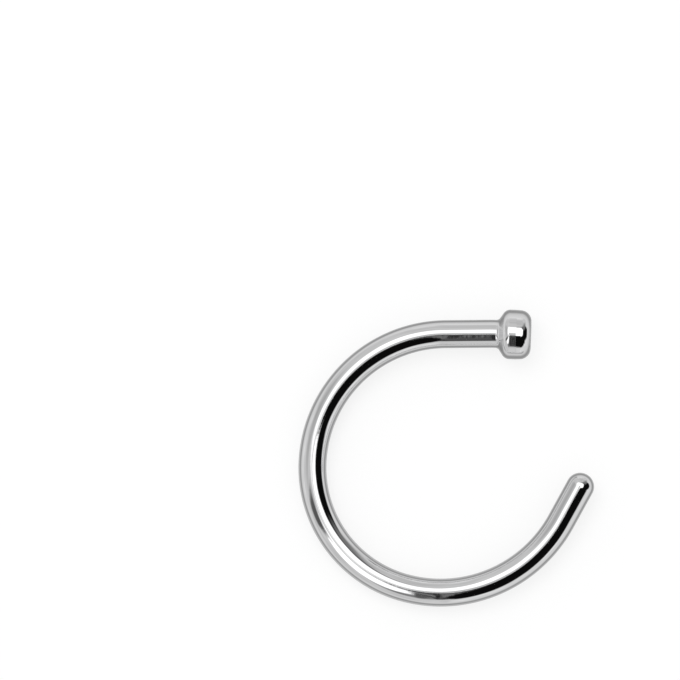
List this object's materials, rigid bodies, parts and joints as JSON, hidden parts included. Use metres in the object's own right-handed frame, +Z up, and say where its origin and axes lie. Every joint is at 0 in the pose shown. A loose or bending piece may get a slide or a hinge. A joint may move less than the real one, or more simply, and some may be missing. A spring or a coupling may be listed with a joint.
{
  "type": "open nose ring with a flat disc stopper",
  "caption": "Open nose ring of round polished wire, with a small flat stopper disc at its inner end and a plain rounded free end.",
  "frame": {"origin": "on the table the ring lies on, under the middle of its bounding box", "axes": "+Z up, across the ring's thin direction; +Y towards the end with the disc; +X towards the side the ring opens to, and the way the disc faces"},
  "size_m": [0.0106, 0.0106, 0.0018],
  "materials": {
    "polished_steel": "mirror-polished stainless steel, with a finer satin on the disc's flat face"
  },
  "bodies": {
    "root": {"nose_ring": "polished_steel"}
  },
  "joints": []
}
